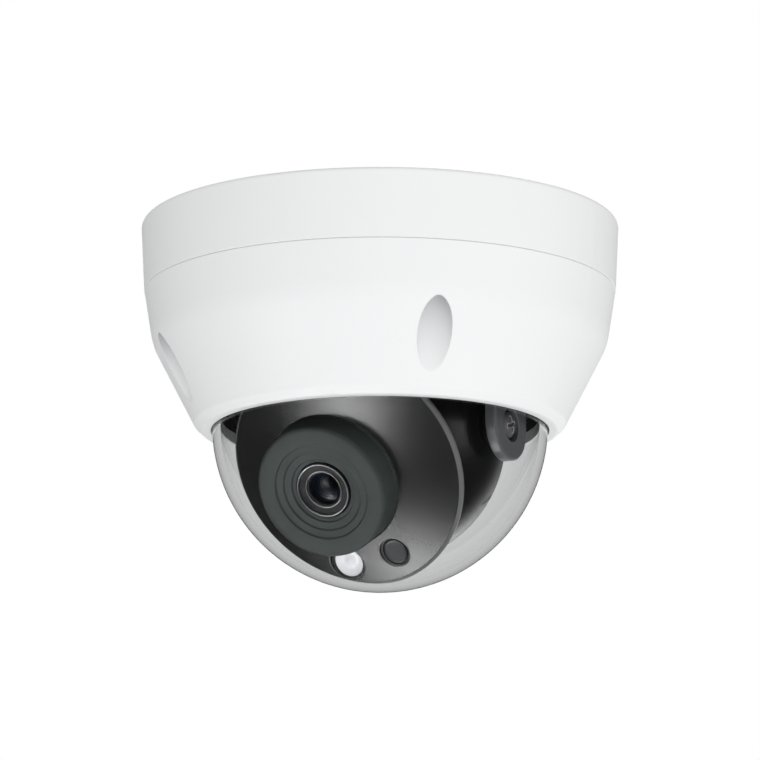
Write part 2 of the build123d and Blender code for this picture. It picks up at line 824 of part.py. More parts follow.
def rear_lens():
    """Inner glass group near the sensor end of the barrel."""
    low = sensor_board_front + 5.5
    return in_eye(at_lens(lens_element(low, low + 4.0, 0.8, glass_radius - 0.03)))


def lens_lock_ring():
    """Knurled ring that locks the barrel once the lens is focused."""
    low = sensor_board_front + 10.2
    bore = barrel_radius + thread_gap
    ring = tube(lock_ring_radius, bore, low, low + lock_ring_height)
    notch = Pos(0, 0, low + 1) * Box(1.0, 1.4, 3)
    angles = [i * full_turn / lock_notch_count for i in range(lock_notch_count)]
    return in_eye(at_lens(cut(ring, around(notch, lock_ring_radius, angles))))


def lens_holder():
    """Square foot on the sensor board with a round socket for the barrel."""
    body = block(holder_side, holder_side, sensor_board_front, sensor_board_front + 4.0)
    body = chamfer(body.edges().filter_by(Axis.Z), 1.2)
    body += tube(barrel_radius + 2.0, 0, sensor_board_front + 3.5, sensor_board_front + 10.0)
    body -= tube(barrel_radius + thread_gap, 0, sensor_board_front + 4.4, sensor_board_front + 11)
    body -= tube(5.4, 0, sensor_board_front - 1, sensor_board_front + 5)
    return in_eye(at_lens(body))


def infrared_filter():
    """Thin filter glass over the image sensor."""
    return in_eye(at_lens(block(7.2, 7.2, sensor_board_front + 2.2, sensor_board_front + 2.7)))


def image_sensor():
    """Image sensor package on the sensor board."""
    return in_eye(at_lens(block(8.4, 6.4, sensor_board_front, sensor_board_front + 1.0)))


def sensor_board():
    """Round board behind the lens."""
    low = sensor_board_front - sensor_board_thickness
    board = at_lens(tube(sensor_board_radius, 0, low, sensor_board_front))
    passage = sensor_screw_radius + screw_gap
    return in_eye(cut(board, sensor_posts(passage, low - 1, sensor_board_front + 1)))


def sensor_board_screws():
    """Screws that hold the sensor board to the mask's posts."""
    low = sensor_board_front - sensor_board_thickness
    body = Pos(0, 0, low) * screw(sensor_screw_radius, sensor_board_thickness + 3.2, 1.4, 0.9, 0.4)
    return in_eye(group([at_lens(s) for s in around(body, post_reach, sensor_post_angles)]))


# ---------------------------------------------------------------- lamp and light sensor
def at_lamp(shape):
    """A piece of the infrared lamp, moved to the lamp's place on the mask."""
    return Pos(lamp_across, lamp_up, 0) * shape


def at_eye_sensor(shape):
    """A piece of the light sensor, moved to the sensor's place on the mask."""
    return Pos(eye_sensor_across, eye_sensor_up, 0) * shape


def lamp_board():
    """Board under the lamp and the light sensor, shaped to the mask's edge."""
    edge = tube(spindle_radius + 1.4, 0, lamp_board_back, lamp_board_front)
    across = eye_sensor_across - lamp_across + 9
    middle = (eye_sensor_across + lamp_across) / 2
    band = Pos(middle, -20.6, 0) * block(across, 8, lamp_board_back, lamp_board_front)
    return in_eye(edge & band)


def infrared_led():
    """Square infrared emitter on the lamp board."""
    body = block(3.4, 3.4, lamp_board_front, lamp_board_front + 0.6)
    return in_eye(at_lamp(body))


def lamp_lens():
    """Clear lens over the emitter."""
    low = lamp_board_front + 0.65
    return in_eye(at_lamp(lens_element(low, lamp_top - 0.1, 0.6, lamp_lens_radius - 0.03)))


def lamp_collar():
    """Dark collar round the lamp's lens."""
    ring = tube(lamp_collar_radius, lamp_lens_radius, lamp_board_front + 0.02, lamp_top)
    return in_eye(at_lamp(ring))


def light_sensor():
    """Light sensor package on the lamp board."""
    return in_eye(at_eye_sensor(block(2.0, 1.6, lamp_board_front, lamp_board_front + 0.7)))


def light_sensor_window():
    """Smoked round window over the light sensor."""
    disc = tube(eye_sensor_radius, 0, lamp_board_front + 0.8, lamp_top + 0.2)
    return in_eye(at_eye_sensor(chamfer(disc.edges().group_by(Axis.Z)[-1], 0.25)))


# ---------------------------------------------------------------- write every sub-part
pieces = [
    mounting_base,
    ceiling_seal,
    cable_grommet,
    cover_seal,
    cover_shell,
    cover_screws,
    screw_clips,
    dome_bubble,
    dome_seal,
    dome_clamp_ring,
    dome_ring_screws,
    main_board,
    board_screws,
    system_chip,
    thermal_pad,
    network_transformer,
    lead_connector,
    inner_frame,
    frame_screws,
    pan_clamp_ring,
    clamp_ring_screws,
    pan_turntable,
    left_arm,
    right_arm,
    arm_screws,
    tilt_screws,
    tilt_washers,
    pivot_inserts,
    rear_shell,
    front_mask,
    roll_retainer,
    retainer_screws,
    lens_hood,
    lens_barrel,
    front_lens,
    rear_lens,
    lens_lock_ring,
    lens_holder,
    infrared_filter,
    image_sensor,
    sensor_board,
    sensor_board_screws,
    lamp_board,
    infrared_led,
    lamp_lens,
    lamp_collar,
    light_sensor,
    light_sensor_window,
]

os.makedirs("parts", exist_ok=True)
for piece in pieces:
    export_step(piece(), f"parts/{piece.__name__}.step")
    print("wrote", piece.__name__)
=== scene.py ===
import json
from math import acos, asin, cos, degrees, pi, radians, sin

import bmesh
import bpy
from mathutils import Matrix, Vector


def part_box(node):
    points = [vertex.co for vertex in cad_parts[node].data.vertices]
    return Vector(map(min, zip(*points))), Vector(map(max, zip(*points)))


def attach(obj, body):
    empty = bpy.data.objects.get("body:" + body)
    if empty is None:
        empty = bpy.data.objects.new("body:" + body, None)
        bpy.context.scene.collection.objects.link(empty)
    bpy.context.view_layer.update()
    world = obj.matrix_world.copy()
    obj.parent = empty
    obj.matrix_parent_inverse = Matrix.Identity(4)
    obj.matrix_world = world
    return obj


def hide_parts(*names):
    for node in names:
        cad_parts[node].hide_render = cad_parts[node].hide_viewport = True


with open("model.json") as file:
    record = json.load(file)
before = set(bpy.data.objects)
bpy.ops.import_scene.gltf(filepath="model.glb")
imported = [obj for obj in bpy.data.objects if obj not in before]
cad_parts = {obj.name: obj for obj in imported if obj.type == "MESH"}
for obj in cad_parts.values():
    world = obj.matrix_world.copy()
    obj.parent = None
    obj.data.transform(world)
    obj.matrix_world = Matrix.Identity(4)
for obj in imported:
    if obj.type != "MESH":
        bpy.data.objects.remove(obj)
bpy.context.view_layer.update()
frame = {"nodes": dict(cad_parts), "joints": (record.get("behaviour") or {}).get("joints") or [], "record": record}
cadNodes = frame["nodes"]
joints = {joint["name"]: joint for joint in frame["joints"]}
mm = 0.001
print("frame loaded:", len(cadNodes), "nodes")


# places read from the frame
pivot = Vector(joints["roll"]["pos_m"])
lensAxis = Vector(joints["roll"]["axis"]).normalized()
maskUp = lensAxis.cross(Vector((1, 0, 0))).normalized()
eyeFrame = Matrix((
    (1, maskUp.x, lensAxis.x, pivot.x),
    (0, maskUp.y, lensAxis.y, pivot.y),
    (0, maskUp.z, lensAxis.z, pivot.z),
    (0, 0, 0, 1),
))
lensDip = acos(maskUp.z)  # how far the lens looks below level
lensTurn = (pi / 2 + lensDip, 0, 0)


# camera, light and floor

shot = {
    "azimuth": 28.0,       # round the object from -Y towards +X
    "below": 12.4,         # the camera looks up by this
    "distance": 1.096,
    "target": -0.0361,     # height on the centre line
    "lens": 226.46,
    "sensor": 36.0,
}

# where (right, front, up) in metres as the camera sees it, size across and up, power
softboxes = {
    "keyBox": {"at": (0.40, 1.25, -1.0), "size": (0.9, 0.9), "power": 9.5},
    "sideBox": {"at": (1.9, 0.6, 0.2), "size": (1.2, 1.6), "power": 2.5},
    "topBox": {"at": (-0.2, 0.9, 1.7), "size": (1.6, 1.6), "power": 4.5},
}

# what each kind of ray finds round the studio; lobes are (right, front, up), brightness, tightness
studio = {
    "backdrop": 1.0,
    "throughDome": 0.66,
    "wrapLow": 0.80,
    "wrapHigh": 0.68,
    "domeShine": 0.03,
    "glossBase": 0.06,
    "glossLobes": {
        "stripLobe": ((-0.70, 0.49, -0.52), 17.0, 95.0),
        "floorLobe": ((-0.374, 0.03, -0.927), 15.0, 52.0),
        "backLobe": ((0.25, -0.92, -0.31), 2.4, 20.0),
        "sideLobe": ((0.976, 0.207, 0.07), 1.3, 30.0),
    },
    "floorDrop": 1.7,
    "floorSize": 24.0,
    "floorTone": (0.97, 0.97, 0.97, 1.0),
}


def cameraAxes():
    # right and front unit vectors on the ground, as the camera sees the object
    turn = radians(shot["azimuth"])
    right = Vector((cos(turn), sin(turn), 0))
    front = Vector((sin(turn), -cos(turn), 0))
    return right, front


def addCamera():
    right, front = cameraAxes()
    tilt = radians(shot["below"])
    data = bpy.data.cameras.new("camera")
    data.lens = shot["lens"]
    data.sensor_width = shot["sensor"]
    data.clip_start = 0.01
    data.clip_end = 100
    camera = bpy.data.objects.new("camera", data)
    bpy.context.scene.collection.objects.link(camera)
    target = Vector((0, 0, shot["target"]))
    away = front * cos(tilt) - Vector((0, 0, sin(tilt)))
    camera.location = target + away * shot["distance"]
    camera.rotation_euler = (-away).to_track_quat("-Z", "Y").to_euler()
    bpy.context.scene.camera = camera


def addSoftbox(name, spec):
    right, front = cameraAxes()
    across, ahead, up = spec["at"]
    data = bpy.data.lights.new(name, "AREA")
    data.shape = "RECTANGLE"
    data.size, data.size_y = spec["size"]
    data.energy = spec["power"]
    light = bpy.data.objects.new(name, data)
    bpy.context.scene.collection.objects.link(light)
    light.visible_glossy = False
    light.visible_transmission = False
    target = Vector((0, 0, shot["target"]))
    light.location = target + right * across + front * ahead + Vector((0, 0, up))
    light.rotation_euler = (target - light.location).to_track_quat("-Z", "Y").to_euler()


def linkMath(tree, operation, *values):
    node = tree.nodes.new("ShaderNodeMath")
    node.operation = operation
    for socket, value in zip(node.inputs, values):
        if isinstance(value, (int, float)):
            socket.default_value = value
        else:
            tree.links.new(value, socket)
    return node.outputs[0]


def linkDot(tree, first, second):
    node = tree.nodes.new("ShaderNodeVectorMath")
    node.operation = "DOT_PRODUCT"
    tree.links.new(first, node.inputs[0])
    if isinstance(second, Vector):
        node.inputs[1].default_value = second
    else:
        tree.links.new(second, node.inputs[1])
    return node.outputs["Value"]


def addWorld():
    world = bpy.data.worlds.new("studio")
    bpy.context.scene.world = world
    world.use_nodes = True
    tree = world.node_tree
    tree.nodes.clear()
    link = tree.links.new
    path = tree.nodes.new("ShaderNodeLightPath")
    place = tree.nodes.new("ShaderNodeTexCoord")
    split = tree.nodes.new("ShaderNodeSeparateXYZ")
    link(place.outputs["Generated"], split.inputs[0])

    # an even wrap for matt surfaces, a little brighter from below
    wrap = tree.nodes.new("ShaderNodeMapRange")
    wrap.inputs["From Min"].default_value = -1
    wrap.inputs["To Min"].default_value = studio["wrapLow"]
    wrap.inputs["To Max"].default_value = studio["wrapHigh"]
    link(split.outputs["Z"], wrap.inputs["Value"])

    # soft lobes for satin and glossy surfaces
    right, front = cameraAxes()
    gloss = studio["glossBase"]
    for (across, ahead, up), bright, tight in studio["glossLobes"].values():
        aim = (right * across + front * ahead + Vector((0, 0, up))).normalized()
        facing = linkMath(tree, "MAXIMUM", linkDot(tree, place.outputs["Generated"], aim), 0.0)
        lobe = linkMath(tree, "POWER", facing, tight)
        gloss = linkMath(tree, "ADD", gloss, linkMath(tree, "MULTIPLY", lobe, bright))

    # the dome's own shine, and what is seen through it
    mirror = path.outputs["Is Singular Ray"]
    crossed = linkMath(tree, "GREATER_THAN", path.outputs["Transmission Depth"], 0.5)
    through = linkMath(tree, "MULTIPLY", mirror, crossed)
    level = wrap.outputs["Result"]
    choices = [
        (path.outputs["Is Glossy Ray"], gloss),
        (mirror, studio["domeShine"]),
        (through, studio["throughDome"]),
        (path.outputs["Is Camera Ray"], studio["backdrop"]),
    ]
    for test, value in choices:
        pick = tree.nodes.new("ShaderNodeMix")
        pick.data_type = "FLOAT"
        link(test, pick.inputs[0])
        link(level, pick.inputs[2])
        if isinstance(value, float):
            pick.inputs[3].default_value = value
        else:
            link(value, pick.inputs[3])
        level = pick.outputs[0]
    glow = tree.nodes.new("ShaderNodeBackground")
    out = tree.nodes.new("ShaderNodeOutputWorld")
    link(level, glow.inputs["Color"])
    link(glow.outputs[0], out.inputs["Surface"])
    world.cycles.sampling_method = "NONE"  # the wrap is smooth, and each ray keeps its own kind


def addFloor():
    grid = bmesh.new()
    bmesh.ops.create_grid(grid, x_segments=8, y_segments=8, size=studio["floorSize"] / 2)
    mesh = bpy.data.meshes.new("floor")
    grid.to_mesh(mesh)
    grid.free()
    mesh.transform(Matrix.Translation((0, 0, -studio["floorDrop"])))
    floor = bpy.data.objects.new("floor", mesh)
    bpy.context.scene.collection.objects.link(floor)
    surface = bpy.data.materials.new("floorPaper")
    surface.use_nodes = True
    paper = surface.node_tree.nodes["Principled BSDF"]
    paper.inputs["Base Color"].default_value = studio["floorTone"]
    paper.inputs["Roughness"].default_value = 0.9
    mesh.materials.append(surface)
    floor.visible_diffuse = False
    floor.visible_glossy = False
    floor.visible_transmission = False


addCamera()
for boxName, boxSpec in softboxes.items():
    addSoftbox(boxName, boxSpec)
addWorld()
addFloor()
bpy.context.scene.view_settings.view_transform = "Standard"
print("studio ready")


# shared effects

def newGroup(name, inputs, outputs):
    group = bpy.data.node_groups.new(name, "ShaderNodeTree")
    for label, kind, value in inputs:
        socket = group.interface.new_socket(name=label, in_out="INPUT", socket_type=kind)
        socket.default_value = value
    for label, kind in outputs:
        group.interface.new_socket(name=label, in_out="OUTPUT", socket_type=kind)
    return group, group.nodes.new("NodeGroupInput"), group.nodes.new("NodeGroupOutput")


def groupNoise(group, place, scale, detail):
    node = group.nodes.new("ShaderNodeTexNoise")
    node.inputs["Detail"].default_value = detail
    group.links.new(place, node.inputs["Vector"])
    if isinstance(scale, (int, float)):
        node.inputs["Scale"].default_value = scale
    else:
        group.links.new(scale, node.inputs["Scale"])
    return node.outputs["Fac"]


def centreNoise(group, noise, amount):
    # noise from 0 to 1, made to swing either side of nothing by half the amount
    return linkMath(group, "MULTIPLY", linkMath(group, "SUBTRACT", noise, 0.5), amount)


def buildSkin():
    # tone drift, fine grain and handling marks of a moulded, cast or painted surface
    number = "NodeSocketFloat"
    group, given, made = newGroup(
        "surfaceSkin",
        [
            ("Color", "NodeSocketColor", (0.5, 0.5, 0.5, 1)),
            ("Roughness", number, 0.5),
            ("Drift", number, 0.04),
            ("Drift Scale", number, 40.0),
            ("Grain Scale", number, 2500.0),
            ("Grain Tone", number, 0.03),
            ("Marks", number, 0.05),
        ],
        [("Color", "NodeSocketColor"), ("Roughness", number), ("Grain", number)],
    )
    place = group.nodes.new("ShaderNodeTexCoord").outputs["Object"]
    broad = groupNoise(group, place, given.outputs["Drift Scale"], 3)
    grain = groupNoise(group, place, given.outputs["Grain Scale"], 2)
    smear = groupNoise(group, place, 320.0, 4)
    driftTone = centreNoise(group, broad, given.outputs["Drift"])
    grainTone = centreNoise(group, grain, given.outputs["Grain Tone"])
    tone = linkMath(group, "ADD", linkMath(group, "ADD", driftTone, grainTone), 1.0)
    tint = group.nodes.new("ShaderNodeVectorMath")
    tint.operation = "SCALE"
    group.links.new(given.outputs["Color"], tint.inputs[0])
    group.links.new(tone, tint.inputs["Scale"])
    group.links.new(tint.outputs[0], made.inputs["Color"])
    spread = centreNoise(group, smear, given.outputs["Marks"])
    rough = linkMath(group, "ADD", given.outputs["Roughness"], spread)
    group.links.new(rough, made.inputs["Roughness"])
    group.links.new(grain, made.inputs["Grain"])
    return group


def buildEdge():
    # how near a point is to a sharp outside edge, from the angle between true and rounded normals
    number = "NodeSocketFloat"
    group, given, made = newGroup(
        "edgeFinder",
        [("Gain", number, 6.0), ("Break Up", number, 0.4)],
        [("Edge", number), ("Normal", "NodeSocketVector")],
    )
    place = group.nodes.new("ShaderNodeTexCoord").outputs["Object"]
    rounded = group.nodes.new("ShaderNodeBevel")
    rounded.samples = 6
    rounded.inputs["Radius"].default_value = 0.35 * mm
    geometry = group.nodes.new("ShaderNodeNewGeometry")
    turn = linkMath(group, "SUBTRACT", 1.0, linkDot(group, rounded.outputs[0], geometry.outputs["Normal"]))
    bend = linkMath(group, "MULTIPLY", turn, given.outputs["Gain"])
    chatter = groupNoise(group, place, 900.0, 3)
    loss = linkMath(group, "MULTIPLY", chatter, given.outputs["Break Up"])
    edge = linkMath(group, "SUBTRACT", bend, loss)
    clean = group.nodes.new("ShaderNodeClamp")
    group.links.new(edge, clean.inputs[0])
    group.links.new(clean.outputs[0], made.inputs["Edge"])
    group.links.new(rounded.outputs[0], made.inputs["Normal"])
    return group


def alongAxis(tree, place, centre, turn):
    # a place seen from a centre, with Z along a turned axis
    seen = tree.nodes.new("ShaderNodeMapping")
    seen.vector_type = "TEXTURE"
    seen.inputs["Location"].default_value = centre
    seen.inputs["Rotation"].default_value = turn
    tree.links.new(place, seen.inputs[0])
    return seen.outputs[0]


def axisReach(tree, place):
    # distance from the Z axis, and height along it
    split = tree.nodes.new("ShaderNodeSeparateXYZ")
    tree.links.new(place, split.inputs[0])
    squares = [linkMath(tree, "MULTIPLY", split.outputs[i], split.outputs[i]) for i in (0, 1)]
    return linkMath(tree, "SQRT", linkMath(tree, "ADD", *squares)), split.outputs[2]


def buildTurned():
    # fine rings left by a lathe, round the piece's own axis
    number = "NodeSocketFloat"
    group, given, made = newGroup(
        "latheRings",
        [("Place", "NodeSocketVector", (0, 0, 0)), ("Pitch", number, 9000.0)],
        [("Rings", number)],
    )
    reach, height = axisReach(group, given.outputs["Place"])
    depth = linkMath(group, "ADD", reach, linkMath(group, "MULTIPLY", height, 0.6))
    wave = linkMath(group, "SINE", linkMath(group, "MULTIPLY", depth, given.outputs["Pitch"]))
    group.links.new(wave, made.inputs["Rings"])
    return group


def buildHollow():
    # faces that look back at the vertical axis, where painted shade goes: the inside of the castings, but not of
    # the driver pockets
    number = "NodeSocketFloat"
    group, given, made = newGroup(
        "insideFaces",
        [("Floor", number, -0.0454), ("Pocket Top", number, -0.0265), ("Pocket Reach", number, 0.0465)],
        [("Inside", number)],
    )
    place = group.nodes.new("ShaderNodeTexCoord").outputs["Object"]
    geometry = group.nodes.new("ShaderNodeNewGeometry")
    reach, height = axisReach(group, place)
    level = group.nodes.new("ShaderNodeVectorMath")
    level.operation = "MULTIPLY"
    level.inputs[1].default_value = (1, 1, 0)
    group.links.new(place, level.inputs[0])
    outward = group.nodes.new("ShaderNodeVectorMath")
    outward.operation = "NORMALIZE"
    group.links.new(level.outputs[0], outward.inputs[0])
    facing = linkDot(group, outward.outputs[0], geometry.outputs["Normal"])
    inward = linkMath(group, "LESS_THAN", facing, -0.3)
    above = linkMath(group, "GREATER_THAN", height, given.outputs["Floor"])
    high = linkMath(group, "GREATER_THAN", height, given.outputs["Pocket Top"])
    near = linkMath(group, "LESS_THAN", reach, given.outputs["Pocket Reach"])
    within = linkMath(group, "MULTIPLY", above, linkMath(group, "MAXIMUM", high, near))
    group.links.new(linkMath(group, "MULTIPLY", inward, within), made.inputs["Inside"])
    return group


def buildRimHighlight():
    # the bevelled band at the mask's rim, by its distance from the lens direction, which gets a painted highlight
    number = "NodeSocketFloat"
    group, given, made = newGroup("rimHighlightBand", [("Reach", number, 0.02708)], [("Band", number)])
    place = group.nodes.new("ShaderNodeTexCoord").outputs["Object"]
    reach = axisReach(group, alongAxis(group, place, pivot, lensTurn))[0]
    group.links.new(linkMath(group, "GREATER_THAN", reach, given.outputs["Reach"]), made.inputs["Band"])
    return group


skinGroup = buildSkin()
edgeGroup = buildEdge()
turnedGroup = buildTurned()
hollowGroup = buildHollow()
rimHighlightGroup = buildRimHighlight()
print("shared effects ready")


# finishes, one for each material slot of the record

def newFinish(name):
    surface = bpy.data.materials.new(name)
    surface.use_nodes = True
    tree = surface.node_tree
    return surface, tree, tree.nodes["Principled BSDF"]


def placeGroup(tree, group, **values):
    node = tree.nodes.new("ShaderNodeGroup")
    node.node_tree = group
    for label, value in values.items():
        node.inputs[label.replace("_", " ")].default_value = value
    return node


def blendColors(tree, amount, first, second):
    # the first colour where the amount is 0, the second where it is 1
    blend = tree.nodes.new("ShaderNodeMix")
    blend.data_type = "RGBA"
    blend.inputs[7].default_value = second + (1,)
    tree.links.new(amount, blend.inputs[0])
    tree.links.new(first, blend.inputs[6])
    return blend.outputs[2]


def addBump(tree, bsdf, height, strength, distance, under=None):
    bump = tree.nodes.new("ShaderNodeBump")
    bump.inputs["Strength"].default_value = strength
    bump.inputs["Distance"].default_value = distance
    tree.links.new(height, bump.inputs["Height"])
    if under is not None:
        tree.links.new(under, bump.inputs["Normal"])
    tree.links.new(bump.outputs[0], bsdf.inputs["Normal"])


def skinFinish(name, spec):
    # a coloured surface with grain, drift and rounded edges, lighter at the edges for wear and for a painted
    # highlight
    surface, tree, bsdf = newFinish(name)
    skin = placeGroup(
        tree, skinGroup, Color=spec["color"] + (1,), Roughness=spec["rough"], Drift=spec.get("drift", 0.05),
        Drift_Scale=spec.get("driftScale", 45.0), Grain_Scale=spec.get("grain", 2500.0),
        Grain_Tone=spec.get("grainTone", 0.04), Marks=spec.get("marks", 0.06),
    )
    edge = placeGroup(tree, edgeGroup, Gain=spec.get("edgeWearAndHighlightGain", 5.0), Break_Up=spec.get("breakUp", 0.5))
    # edge tone: partly wear, partly a painted highlight along sharp edges
    tone = blendColors(tree, edge.outputs["Edge"], skin.outputs["Color"], spec["edgeWearAndHighlight"])
    # painted shade: the inside faces of the castings are darkened where shade falls
    if "primer" in spec:
        hollow = placeGroup(tree, hollowGroup)
        tone = blendColors(tree, hollow.outputs["Inside"], tone, spec["primer"])
    # painted highlight: a lighter tone on the mask's bevelled rim band
    if "rim" in spec:
        band = placeGroup(tree, rimHighlightGroup)
        tone = blendColors(tree, band.outputs["Band"], tone, spec["rim"])
    tree.links.new(tone, bsdf.inputs["Base Color"])
    tree.links.new(skin.outputs["Roughness"], bsdf.inputs["Roughness"])
    depth = spec.get("depth", 0.02) * mm
    addBump(tree, bsdf, skin.outputs["Grain"], spec.get("bump", 0.08), depth, edge.outputs["Normal"])
    bsdf.inputs["Specular IOR Level"].default_value = spec.get("shine", 0.5)
    bsdf.inputs["Coat Weight"].default_value = spec.get("coat", 0.0)
    bsdf.inputs["Emission Color"].default_value = (1, 1, 1, 1)
    # painted glow: emission makes unlit parts shine
    bsdf.inputs["Emission Strength"].default_value = spec.get("glow", 0.0)
    return surface


def turnedFinish(name, spec):
    # metal with lathe rings round its own axis
    surface, tree, bsdf = newFinish(name)
    place = tree.nodes.new("ShaderNodeTexCoord").outputs["Object"]
    rings = placeGroup(tree, turnedGroup, Pitch=spec.get("pitch", 9000.0))
    tree.links.new(alongAxis(tree, place, spec["centre"], spec["turn"]), rings.inputs["Place"])
    skin = placeGroup(
        tree, skinGroup, Color=spec["color"] + (1,), Roughness=spec["rough"], Drift=0.12, Drift_Scale=180.0,
        Grain_Scale=3500.0, Grain_Tone=0.08, Marks=0.14,
    )
    edge = placeGroup(tree, edgeGroup, Gain=spec.get("edgeWearAndHighlightGain", 4.0), Break_Up=0.3)
    # edge tone: partly wear, partly a painted highlight along sharp edges
    tone = blendColors(tree, edge.outputs["Edge"], skin.outputs["Color"], spec["edgeWearAndHighlight"])
    tree.links.new(tone, bsdf.inputs["Base Color"])
    tree.links.new(skin.outputs["Roughness"], bsdf.inputs["Roughness"])
    addBump(tree, bsdf, rings.outputs["Rings"], 0.25, 0.004 * mm, edge.outputs["Normal"])
    bsdf.inputs["Metallic"].default_value = spec.get("metal", 1.0)
    return surface


def clearFinish(name, spec):
    # glass or clear plastic: shadow, diffuse and satin rays pass straight on, the others bend and reflect
    surface, tree, bsdf = newFinish(name)
    bsdf.inputs["Base Color"].default_value = spec["color"] + (1,)
    bsdf.inputs["Transmission Weight"].default_value = 1.0
    bsdf.inputs["Roughness"].default_value = spec.get("rough", 0.0)
    bsdf.inputs["IOR"].default_value = spec["ior"]
    place = tree.nodes.new("ShaderNodeTexCoord").outputs["Object"]
    ripple = tree.nodes.new("ShaderNodeTexNoise")
    ripple.inputs["Scale"].default_value = 60.0
    ripple.inputs["Detail"].default_value = 1
    tree.links.new(place, ripple.inputs["Vector"])
    addBump(tree, bsdf, ripple.outputs["Fac"], 0.002, 0.05 * mm)
    # light that leaves through the far face of the wall isn't turned back unless it has to be
    face = tree.nodes.new("ShaderNodeNewGeometry")
    grazing = tree.nodes.new("ShaderNodeFresnel")
    grazing.inputs["IOR"].default_value = spec["ior"]
    leaving = linkMath(tree, "LESS_THAN", grazing.outputs[0], 0.6)
    leaving = linkMath(tree, "MULTIPLY", leaving, face.outputs["Backfacing"])
    bend = tree.nodes.new("ShaderNodeBsdfRefraction")
    bend.inputs["Color"].default_value = spec["color"] + (1,)
    bend.inputs["Roughness"].default_value = spec.get("rough", 0.0)
    bend.inputs["IOR"].default_value = spec["ior"]
    body = tree.nodes.new("ShaderNodeMixShader")
    tree.links.new(leaving, body.inputs[0])
    tree.links.new(bsdf.outputs[0], body.inputs[1])
    tree.links.new(bend.outputs[0], body.inputs[2])

    path = tree.nodes.new("ShaderNodeLightPath")
    satin = linkMath(tree, "SUBTRACT", path.outputs["Is Glossy Ray"], path.outputs["Is Singular Ray"])
    soft = linkMath(tree, "MAXIMUM", path.outputs["Is Shadow Ray"], path.outputs["Is Diffuse Ray"])
    passing = linkMath(tree, "MAXIMUM", soft, satin)
    free = tree.nodes.new("ShaderNodeBsdfTransparent")
    free.inputs["Color"].default_value = spec["pass"] + (1,)
    pick = tree.nodes.new("ShaderNodeMixShader")
    tree.links.new(passing, pick.inputs[0])
    tree.links.new(body.outputs[0], pick.inputs[1])
    tree.links.new(free.outputs[0], pick.inputs[2])
    tree.links.new(pick.outputs[0], tree.nodes["Material Output"].inputs[0])
    return surface


def boardFinish(name, spec):
    # solder mask over copper tracks, with a faint weave of the glass cloth
    surface, tree, bsdf = newFinish(name)
    place = tree.nodes.new("ShaderNodeTexCoord").outputs["Object"]
    tracks = tree.nodes.new("ShaderNodeTexVoronoi")
    tracks.distance = "MANHATTAN"
    tracks.inputs["Scale"].default_value = 420.0
    tree.links.new(place, tracks.inputs["Vector"])
    lines = linkMath(tree, "PINGPONG", tracks.outputs["Distance"], 0.12)
    copper = tree.nodes.new("ShaderNodeMapRange")
    copper.inputs["From Min"].default_value = 0.05
    copper.inputs["From Max"].default_value = 0.07
    tree.links.new(lines, copper.inputs["Value"])
    skin = placeGroup(
        tree, skinGroup, Color=spec["color"] + (1,), Roughness=0.35, Grain_Scale=1800.0, Grain_Tone=0.08,
    )
    paint = blendColors(tree, copper.outputs["Result"], skin.outputs["Color"], spec["track"])
    tree.links.new(paint, bsdf.inputs["Base Color"])
    tree.links.new(skin.outputs["Roughness"], bsdf.inputs["Roughness"])
    addBump(tree, bsdf, copper.outputs["Result"], 0.3, 0.03 * mm)
    return surface


upright = {"centre": (0, 0, 0), "turn": (0, 0, 0)}
lensLow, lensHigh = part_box("lens_barrel")
lensCentre = (lensLow + lensHigh) / 2
lensTurned = {"centre": lensCentre, "turn": lensTurn}
sideways = {"centre": (0, 0, pivot.z), "turn": (0, pi / 2, 0)}

